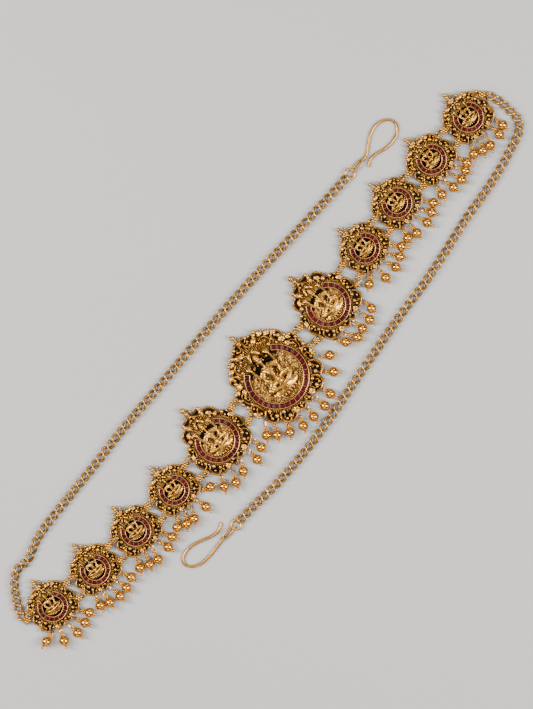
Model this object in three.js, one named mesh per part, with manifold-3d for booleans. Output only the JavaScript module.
// Hip chain of cast antique-gold metal: eleven openwork medallions, each with a horseshoe band of square
// red stones round a seated figure, joined side by side by pairs of rosette links. A row of bead drops hangs
// from a wire behind each medallion's lower scrolls, and a curb chain with a wire hook leaves each end.
//
// Units are millimetres, +Z is up. The piece lies on its back: X runs along the belt, Y towards the points
// of the medallions, and the origin is the middle of the centre medallion's back.

import * as THREE from "three";
import { mergeVertices } from "three/addons/utils/BufferGeometryUtils.js";
import Module from "manifold-3d";

const wasm = await Module();
wasm.setup();

// ---------------------------------------------------------------- driving dimensions

const BACK_THICK = 1.6; // the round back of a medallion, which lies on the table
const FRAME_LOW = 1.2; // underside of the openwork frame
const FRAME_THICK = 1.1;
const COLLET_TOP = 2.4; // top of the horseshoe that carries the stones
const SUNK = 0.1; // how far the collet and the figure reach into the back that they are cast on
const LEAST_BACK_SIDES = 14;
const STONE_GAP = 0.3; // clearance between the stones and their collet
const STONE_THICK = 0.6;
const STONE_INSET = 0.35; // how far the stone band stays inside the collet's edges
const BAND_OPENING = 76; // degrees left open at the top of the horseshoe

const LINK_WIRE = 0.6; // side of a rosette link's square wire
const LINK_HALF_WIDTH = 1.45; // middle of a link's loop to the centre of its wire
const LINK_TILT = 60; // degrees that a link leans, to pass over one side of an ear and under the other
const LINK_Z = FRAME_LOW + FRAME_THICK / 2;
const LOOP_CORNER = 0.5; // how much a loop's corners are cut off
const ROSETTE_RADIUS = 1.75;
const ROSETTE_LOW = 2.75;
const ROSETTE_HIGH = 3.9;
const ROSETTE_PLACE = 0.34; // share of the way from the outer ear to the inner one
const CHAIN_ROSETTE_PLACE = 0.42; // the same, from the chain to the ear of an end medallion
const EAR_HOLE = { wide: 3, tall: 3 }; // measured from corner to corner

const BEAD_RADIUS = 2.35;
const DROP_SIDES = 5;
const ROSETTE_LEAD = 3.3; // from a drop's rosette to the middle of its bead
const CARRIER_Z = 0.5; // centre of the wire that carries the drops, behind the frame
const CARRIER_SIDE = 0.6;

const CHAIN_PITCH = 4.3;
const CHAIN_THICK = 1.7;
const CHAIN_WIDE = 2.5; // half the width of a curb link at its middle
const CHAIN_NARROW = 1.5; // half the width where two links meet

const HOOK_WIRE = 1.2;
const HOOK_SIDES = 6;
const HOOK_STEPS = 26;
const EYE_LAP = 0.5; // how far the closed eye that joins a hook to its chain runs over the hook's wire
const EYE_HALF_WIDTH = 0.9;
const EYE_WIRE = 0.9;
const JOIN_GAP = 0.3;

// Three sizes of medallion. An outline runs from the point at the top down the right side to the bottom, and
// the left side mirrors it. A void is a four-sided opening. `drops` are the places under the frame's edge
// where each drop leaves its carrier wire, and how far its bead reaches from there.
const SIZES = {
  small: {
    ring: 7.7, band: 2.6, stones: 13, relief: 3.7,
    figure: { low: -3.9, top: 9.2, knee: 4.3 },
    ears: { upper: [10.9, 4.4], lower: [11.0, -5.1] },
    outline: [
      [0, 17.2], [1.2, 16.2], [1.3, 14.4], [5.0, 11.7], [7.8, 9.8], [9.6, 7.4], [11.4, 6.7], [12.7, 5.0],
      [12.5, 3.2], [11.9, 1.0], [12.1, -3.0], [12.8, -5.1], [12.0, -7.2], [9.6, -9.9], [6.4, -11.0],
      [2.4, -11.4], [0, -10.5],
    ],
    voids: [
      { x: 6.9, y: 6.9, wide: 4.4, tall: 1.6, turn: -45 },
      { x: 9.8, y: -0.9, wide: 1.8, tall: 3.2, turn: 0 },
      { x: 7.9, y: -7.0, wide: 2.4, tall: 2.8, turn: 0 },
      { x: 3.7, y: 1.0, wide: 1.3, tall: 3.2, turn: 0 },
    ],
    drops: [
      { x: -9, y: -10.3, reach: 5.2 }, { x: -4.6, y: -11.6, reach: 5.9 }, { x: 0.3, y: -11.1, reach: 7.3 },
      { x: 4.6, y: -11.6, reach: 5.9 }, { x: 9, y: -10.3, reach: 5.2 },
    ],
  },
  medium: {
    ring: 11.3, band: 2.8, stones: 16, relief: 4.5,
    figure: { low: -7.3, top: 13.7, knee: 7.2 },
    ears: { upper: [15.4, 5.0], lower: [15.8, -6.0] },
    outline: [
      [0, 24.2], [1.6, 22.8], [1.7, 20.4], [6.6, 17.7], [9.8, 15.4], [12.2, 11.8], [12.6, 9.0], [15.0, 7.9],
      [17.1, 6.2], [17.1, 3.8], [15.9, 1.4], [16.2, -3.4], [17.5, -6.0], [16.4, -8.4], [13.9, -10.4],
      [11.8, -13.6], [7.6, -14.9], [2.4, -15.6], [0, -14.6],
    ],
    voids: [
      { x: 9.3, y: 11.9, wide: 3.2, tall: 3.2, turn: 0 },
      { x: 13.6, y: -2.6, wide: 1.8, tall: 3.4, turn: 0 },
      { x: 10.9, y: -10.2, wide: 2.6, tall: 2.8, turn: 0 },
      { x: 2.9, y: 6.6, wide: 1.8, tall: 3.2, turn: 0 },
    ],
    drops: [
      { x: -12.6, y: -13.2, reach: 5.4 }, { x: -6.8, y: -15.4, reach: 6.4 }, { x: 0, y: -15, reach: 6.2 },
      { x: 6.2, y: -15.5, reach: 6.2 }, { x: 11.8, y: -14.1, reach: 5.2 },
    ],
  },
  large: {
    ring: 16.4, band: 3.1, stones: 26, relief: 5.7,
    figure: { low: -10.6, top: 18.2, knee: 9.2 },
    ears: { upper: [22.2, 7.9], lower: [22.3, -2.6] },
    outline: [
      [0, 31.9], [1.2, 30.6], [1.4, 28.2], [3.6, 26.5], [8.8, 24.7], [13.4, 21.6], [17.0, 18.0], [18.4, 14.2],
      [18.6, 11.2], [21.6, 10.6], [23.9, 9.0], [23.9, 6.6], [22.3, 3.2], [22.5, 0.4], [24.0, -1.8],
      [23.8, -4.2], [22.0, -7.0], [20.2, -9.6], [19.0, -12.6], [16.4, -16.0], [13.6, -19.0], [10.0, -20.9],
      [5.0, -21.6], [0, -20.8],
    ],
    voids: [
      { x: 3.5, y: 22.7, wide: 2.4, tall: 2.6, turn: 0 },
      { x: 9.7, y: 17.7, wide: 3.2, tall: 2.6, turn: 0 },
      { x: 14.9, y: 13.3, wide: 2.8, tall: 3.0, turn: 0 },
      { x: 19.4, y: 3.2, wide: 2.0, tall: 3.6, turn: 0 },
      { x: 19.2, y: -5.4, wide: 2.0, tall: 4.8, turn: -14 },
      { x: 15.9, y: -11.7, wide: 2.6, tall: 2.8, turn: 0 },
      { x: 10.8, y: -16.9, wide: 2.6, tall: 2.8, turn: 0 },
      { x: 3.5, y: 8.8, wide: 2.5, tall: 4.2, turn: 0 },
    ],
    drops: [
      { x: -20.8, y: -9.8, reach: 7.4 }, { x: -18.5, y: -13.8, reach: 6.6 }, { x: -13.8, y: -19.3, reach: 5.2 },
      { x: -7.6, y: -21.8, reach: 5.2 }, { x: -1.6, y: -21.5, reach: 6 }, { x: 5, y: -22, reach: 6 },
      { x: 10.6, y: -21.1, reach: 5.2 }, { x: 16.8, y: -15.9, reach: 5.8 }, { x: 20.9, y: -9.6, reach: 6 },
    ],
  },
};

// How each medallion lies, from the left end of the belt to the right: the middle of its ring, its turn in
// degrees, and how far each of its drops has swung from straight down.
const MEDALLIONS = [
  { size: "small", x: -159.7, y: 10.5, turn: -9.7, leans: [-75, -21, 7, 27, 38] },
  { size: "small", x: -132, y: 6.3, turn: -8.2, leans: [-10, -7, 2, 12, 24] },
  { size: "small", x: -104.2, y: 3.4, turn: -5, leans: [-30, -24, -19, 14, 22] },
  { size: "small", x: -76.3, y: 2.1, turn: -2.5, leans: [-44, -38, -33, 2, 68] },
  { size: "medium", x: -43.4, y: 1.8, turn: 0.5, leans: [-35, -32, -36, -7, -5] },
  { size: "large", x: 0, y: 0, turn: 0, leans: [-41, -33, -38, -30, -16, -5, 4, 40, 51] },
  { size: "medium", x: 44, y: 3.8, turn: 6.2, leans: [25, 15, -2, -7, -13] },
  { size: "small", x: 77.3, y: 8.2, turn: 6.1, leans: [-70, -18, 5, 19, 25] },
  { size: "small", x: 104.8, y: 10.7, turn: 5.6, leans: [-28, -21, 3, 15, 18] },
  { size: "small", x: 132.5, y: 11.7, turn: 3.6, leans: [-22, 1, 6, 12, 5] },
  { size: "small", x: 160.4, y: 11.3, turn: -2.2, leans: [-32, -28, -26, -4, -2] },
];

// The way that each chain lies, from its rosette to its hook.
const CHAIN_ROUTES = {
  left: [
    [-174.5, 17.1], [-172.2, 22.0], [-168.3, 27.5], [-164.2, 31.9], [-159.6, 35.1], [-155.4, 35.9],
    [-151.4, 34.9], [-147.0, 35.7], [-140.5, 37.9], [-130.0, 39.3], [-110.0, 39.9], [-90.0, 40.5],
    [-68.0, 41.4], [-40.0, 41.4], [-10.0, 41.6], [15.0, 41.2], [40.0, 40.3], [65.0, 39.2], [85.0, 38.4],
    [103.0, 38.0],
  ],
  right: [
    [175.6, 11.5], [176.9, 4.6], [176.7, -1.6], [176.4, -6.6], [174.2, -10.8], [170.0, -13.2], [163.0, -15.0],
    [152.0, -17.4], [139.0, -19.2], [120.0, -20.9], [102.0, -23.6], [82.0, -26.0], [61.0, -27.4],
    [40.0, -29.6], [20.0, -31.7], [0, -34.0], [-20.0, -35.1], [-40.0, -34.9], [-58.0, -33.2],
    [-71.5, -32.5],
  ],
};

// Where the far end of each chain's rosette link lies.
const CHAIN_LINK_ENDS = { left: [-175.2, 15.2], right: [175.2, 12.4] };

// The bend of each wire hook, from its eye round to its free tip.
const HOOK_BENDS = {
  left: [
    [109.6, 37.7], [113.4, 37.9], [118.4, 40.8], [123.4, 43.3], [128.4, 43.8], [132.8, 42.0], [135.0, 38.2],
    [133.2, 34.4], [128.2, 32.4], [122.0, 32.8], [116.2, 34.7], [112.6, 34.9], [109.6, 33.2],
  ],
  right: [
    [-78.2, -32.3], [-84.0, -32.6], [-92.0, -32.6], [-97.4, -31.2], [-100.8, -27.8], [-100.4, -24.4],
    [-97.0, -22.6], [-92.4, -22.6], [-87.0, -24.6], [-81.6, -27.2], [-77.6, -28.0], [-73.4, -26.6],
  ],
};

// ---------------------------------------------------------------- materials

const CAST_GOLD = { color: 0xc08a45, metalness: 1, roughness: 0.42 };
const BRIGHT_GOLD = { color: 0xc98f45, metalness: 1, roughness: 0.25 };
const CHAIN_GOLD = { color: 0xb87f3f, metalness: 1, roughness: 0.32 };
const RED_STONE = { color: 0x7c0f2a, metalness: 0, roughness: 0.12 };

// ---------------------------------------------------------------- helpers

const radians = THREE.MathUtils.degToRad;

/** A closed geometry as a manifold-3d solid. */
function solid(geometry) {
  const plain = geometry.clone();
  plain.deleteAttribute("normal");
  plain.deleteAttribute("uv");
  const merged = mergeVertices(plain, 1e-4);
  return new wasm.Manifold(
    new wasm.Mesh({
      numProp: 3,
      vertProperties: merged.attributes.position.array,
      triVerts: new Uint32Array(merged.index.array),
    }),
  );
}

/** A manifold-3d solid as a named mesh, lying at a place in the belt. */
function node(name, made, look, { x, y, turn } = { x: 0, y: 0, turn: 0 }) {
  const { numProp, vertProperties, triVerts } = made.getMesh();
  const places = new Float32Array((vertProperties.length / numProp) * 3);
  for (let i = 0; i < places.length / 3; i++) {
    places.set(vertProperties.subarray(i * numProp, i * numProp + 3), i * 3);
  }
  const geometry = new THREE.BufferGeometry();
  geometry.setAttribute("position", new THREE.BufferAttribute(places, 3));
  geometry.setIndex(new THREE.BufferAttribute(triVerts, 1));
  geometry.computeVertexNormals();
  const mesh = new THREE.Mesh(geometry, new THREE.MeshStandardMaterial(look));
  mesh.name = name;
  mesh.position.set(x, y, 0);
  mesh.rotation.z = radians(turn);
  return mesh;
}

/** An outline given as [x, y] pairs, with any holes, as a slab's geometry between two heights. */
function slabGeometry(outline, low, high, holes = []) {
  const shape = new THREE.Shape(outline.map(([x, y]) => new THREE.Vector2(x, y)));
  shape.holes = holes.map((hole) => new THREE.Path(hole.map(([x, y]) => new THREE.Vector2(x, y))));
  const geometry = new THREE.ExtrudeGeometry(shape, { depth: high - low, bevelEnabled: false });
  return geometry.translate(0, 0, low);
}

const slab = (outline, low, high) => solid(slabGeometry(outline, low, high));

/** Several solids joined into one. */
const joined = (pieces) => pieces.reduce((made, piece) => made.add(piece));

const mirrored = ([x, y]) => [-x, y];

/** The right half of an outline, from top to bottom, closed by its mirror image. */
function bothHalves(half) {
  const left = half.filter(([x]) => x > 0).map(mirrored);
  return [...half, ...left.reverse()];
}

/** The corners of an evenly sided oval. A four-sided one is square to its axes. */
function oval(sides, { x, y, wide, tall, turn = 0 }) {
  const corners = [];
  for (let i = 0; i < sides; i++) {
    const a = radians(45 + (360 * i) / sides);
    const corner = new THREE.Vector2((Math.cos(a) * wide) / 2, (Math.sin(a) * tall) / 2);
    corner.rotateAround(new THREE.Vector2(), radians(turn));
    corners.push([x + corner.x, y + corner.y]);
  }
  return corners;
}

/** A horseshoe between two radii, open at the top, with a side for each stone. */
function horseshoe(inner, outer, sides) {
  const from = radians(90 + BAND_OPENING / 2);
  const sweep = radians(360 - BAND_OPENING);
  const arc = (radius, i) => {
    const a = from + (sweep * i) / sides;
    return [radius * Math.cos(a), radius * Math.sin(a)];
  };
  const steps = Array.from({ length: sides + 1 }, (_, i) => i);
  return [...steps.map((i) => arc(outer, i)), ...steps.reverse().map((i) => arc(inner, i))];
}

/** A point of a medallion's own frame, as it lies in the belt. */
function placed({ x, y, turn }, [px, py]) {
  const p = new THREE.Vector2(px, py).rotateAround(new THREE.Vector2(), radians(turn));
  return new THREE.Vector2(x + p.x, y + p.y);
}

const numbered = (name, i) => `${name}_${String(i + 1).padStart(2, "0")}`;

// ---------------------------------------------------------------- medallions

/** The seated figure's outline, scaled from its lap's half width and its lowest and highest points. */
function figureOutline({ low, top, knee }) {
  const rows = [
    { side: 0, rise: 1 }, { side: 0.36, rise: 0.88 }, { side: 0.3, rise: 0.68 }, { side: 0.6, rise: 0.56 },
    { side: 0.52, rise: 0.36 }, { side: 1, rise: 0.28 }, { side: 0.86, rise: 0.08 }, { side: 0, rise: 0 },
  ];
  return bothHalves(rows.map(({ side, rise }) => [side * knee, low + rise * (top - low)]));
}

/** A medallion: round back, openwork frame with its ears, horseshoe collet and figure, cast as one. */
function medallion({ ring, band, stones, relief, figure, ears, outline, voids }) {
  const backSides = Math.max(LEAST_BACK_SIDES, stones);
  const back = Array.from({ length: backSides }, (_, i) => {
    const a = (2 * Math.PI * i) / backSides;
    return [ring * Math.cos(a), ring * Math.sin(a)];
  });
  const earHoles = [ears.upper, ears.lower].map(([x, y]) => ({ x, y, ...EAR_HOLE }));
  const openings = [...voids, ...earHoles].map((hole) => oval(4, hole));
  const cuts = [...openings, ...openings.map((hole) => hole.map(mirrored).reverse())];
  const cast = joined([
    slab(back, 0, BACK_THICK),
    slab(bothHalves(outline), FRAME_LOW, FRAME_LOW + FRAME_THICK),
    slab(horseshoe(ring - band, ring, stones), BACK_THICK - SUNK, COLLET_TOP),
    slab(figureOutline(figure), BACK_THICK - SUNK, relief),
  ]);
  return cast.subtract(joined(cuts.map((hole) => slab(hole, -1, relief + 1))));
}

/** The band of stones that lies in a medallion's horseshoe. */
function stoneBand({ ring, band, stones }) {
  const low = COLLET_TOP + STONE_GAP;
  return slab(horseshoe(ring - band + STONE_INSET, ring - STONE_INSET, stones), low, low + STONE_THICK);
}

// ---------------------------------------------------------------- rosette links

/** The geometry of a loop of square wire round the origin, its long way along X, with its corners cut off. */
function loopGeometry(halfLength, halfWidth, wire) {
  const corners = (l, w) => [
    [l, LOOP_CORNER - w], [l, w - LOOP_CORNER], [l - LOOP_CORNER, w], [LOOP_CORNER - l, w],
    [-l, w - LOOP_CORNER], [-l, LOOP_CORNER - w], [LOOP_CORNER - l, -w], [l - LOOP_CORNER, -w],
  ];
  const half = wire / 2;
  const inside = corners(halfLength - half, halfWidth - half);
  return slabGeometry(corners(halfLength + half, halfWidth + half), -half, half, [inside]);
}

/** A link's mesh: a tilted loop between two points of the belt, with a rosette on top of it. */
function rosetteLink(name, from, to, rosettePlace) {
  const along = to.clone().sub(from);
  const middle = from.clone().add(to).multiplyScalar(0.5);
  const wire = loopGeometry(along.length() / 2, LINK_HALF_WIDTH, LINK_WIRE);
  wire.rotateX(radians(LINK_TILT)).translate(0, 0, LINK_Z);
  const across = 2 * ROSETTE_RADIUS;
  const flower = oval(6, { x: (rosettePlace - 0.5) * along.length(), y: 0, wide: across, tall: across });
  const made = solid(wire).add(slab(flower, ROSETTE_LOW, ROSETTE_HIGH));
  const turn = THREE.MathUtils.radToDeg(along.angle());
  return node(name, made, CAST_GOLD, { x: middle.x, y: middle.y, turn });
}

/** An ear of a laid medallion: side is 1 on its right and -1 on its left. */
function earOf(place, level, side) {
  const [x, y] = SIZES[place.size].ears[level];
  return placed(place, [side * x, y]);
}

// ---------------------------------------------------------------- bead drops

/** The geometry of one drop along +Y from its wire: stem, rosette, neck, bead and pointed tip. */
function dropGeometry(reach) {
  const rosette = reach - ROSETTE_LEAD;
  const rows = [
    { radius: 0, at: -0.3 }, { radius: 0.95, at: rosette }, { radius: 0.5, at: rosette + 0.9 },
    { radius: BEAD_RADIUS, at: reach - 1 }, { radius: BEAD_RADIUS, at: reach + 1 },
    { radius: 0.7, at: reach + 2.4 }, { radius: 0, at: reach + 4.1 },
  ];
  const profile = rows.map(({ radius, at }) => new THREE.Vector2(radius, at));
  return new THREE.LatheGeometry(profile, DROP_SIDES);
}

/** A row of drops on the wire behind a medallion's lower scrolls, each swung to its own lean. */
function dropRow({ drops }, leans) {
  const beads = drops.map(({ x, y, reach }, i) => {
    const rise = Math.asin((BEAD_RADIUS - CARRIER_Z) / reach);
    const hanging = dropGeometry(reach).rotateX(rise).rotateZ(Math.PI + radians(leans[i]));
    return solid(hanging.translate(x, y, CARRIER_Z));
  });
  const half = CARRIER_SIDE / 2;
  const edge = (side) => drops.map(({ x, y }) => {
    const out = new THREE.Vector2(x, y).normalize().multiplyScalar(side * half);
    return [x + out.x, y + out.y];
  });
  const wire = slab([...edge(1), ...edge(-1).reverse()], CARRIER_Z - half, CARRIER_Z + half);
  return joined([wire, ...beads]);
}

// ---------------------------------------------------------------- chains and hooks

const flatCurve = (points, z = 0) =>
  new THREE.CatmullRomCurve3(points.map(([x, y]) => new THREE.Vector3(x, y, z)), false, "centripetal");

/** A curb chain laid flat along its route, its links joined: wide in the middle of each, narrow between. */
function curbChain(route) {
  const curve = flatCurve(route);
  curve.arcLengthDivisions = 2000;
  const halfLinks = 2 * Math.round(curve.getLength() / CHAIN_PITCH);
  const edge = (side) => Array.from({ length: halfLinks + 1 }, (_, i) => {
    const p = curve.getPointAt(i / halfLinks);
    const t = curve.getTangentAt(i / halfLinks);
    const across = side * (i % 2 ? CHAIN_WIDE : CHAIN_NARROW);
    return [p.x - t.y * across, p.y + t.x * across];
  });
  return slab([...edge(-1), ...edge(1).reverse()], 0, CHAIN_THICK);
}

/** A hook of round wire bent in the plane of the table, with a closed eye facing its chain. */
function hook(bend, chainEnd) {
  const ring = Array.from({ length: HOOK_SIDES }, (_, i) => {
    const a = (2 * Math.PI * i) / HOOK_SIDES;
    return new THREE.Vector2((Math.cos(a) * HOOK_WIRE) / 2, (Math.sin(a) * HOOK_WIRE) / 2);
  });
  const wire = solid(
    new THREE.ExtrudeGeometry(new THREE.Shape(ring), {
      steps: HOOK_STEPS, bevelEnabled: false, extrudePath: flatCurve(bend, HOOK_WIRE / 2),
    }),
  );
  const start = new THREE.Vector2(...chainEnd);
  const along = new THREE.Vector2(...bend[0]).sub(start);
  const length = along.length() - JOIN_GAP + EYE_LAP;
  const middle = start.clone().addScaledVector(along.normalize(), JOIN_GAP + length / 2);
  const eye = loopGeometry((length - EYE_WIRE) / 2, EYE_HALF_WIDTH, EYE_WIRE);
  return wire.add(solid(eye.rotateZ(along.angle()).translate(middle.x, middle.y, HOOK_WIRE / 2)));
}

// ---------------------------------------------------------------- the hip chain

const hipChain = new THREE.Group();

const castings = {};
for (const [name, size] of Object.entries(SIZES)) {
  castings[name] = { medallion: medallion(size), stones: stoneBand(size) };
}

MEDALLIONS.forEach((place, i) => {
  const made = castings[place.size];
  const row = dropRow(SIZES[place.size], place.leans);
  hipChain.add(node(numbered("medallion", i), made.medallion, CAST_GOLD, place));
  hipChain.add(node(numbered("stone_band", i), made.stones, RED_STONE, place));
  hipChain.add(node(numbered("bead_drops", i), row, BRIGHT_GOLD, place));
});

const centre = MEDALLIONS.findIndex(({ size }) => size === "large");
MEDALLIONS.slice(1).forEach((right, i) => {
  for (const level of ["upper", "lower"]) {
    const ears = [earOf(MEDALLIONS[i], level, 1), earOf(right, level, -1)];
    const [outer, inner] = i < centre ? ears : ears.reverse();
    hipChain.add(rosetteLink(numbered(`rosette_link_${level}`, i), outer, inner, ROSETTE_PLACE));
  }
});

const endEars = {
  left: earOf(MEDALLIONS[0], "upper", -1),
  right: earOf(MEDALLIONS.at(-1), "upper", 1),
};
for (const [side, route] of Object.entries(CHAIN_ROUTES)) {
  const far = new THREE.Vector2(...CHAIN_LINK_ENDS[side]);
  hipChain.add(rosetteLink(`chain_rosette_${side}`, far, endEars[side], CHAIN_ROSETTE_PLACE));
  hipChain.add(node(`curb_chain_${side}`, curbChain(route), CHAIN_GOLD));
  hipChain.add(node(`hook_${side}`, hook(HOOK_BENDS[side], route.at(-1)), BRIGHT_GOLD));
}

export default hipChain;
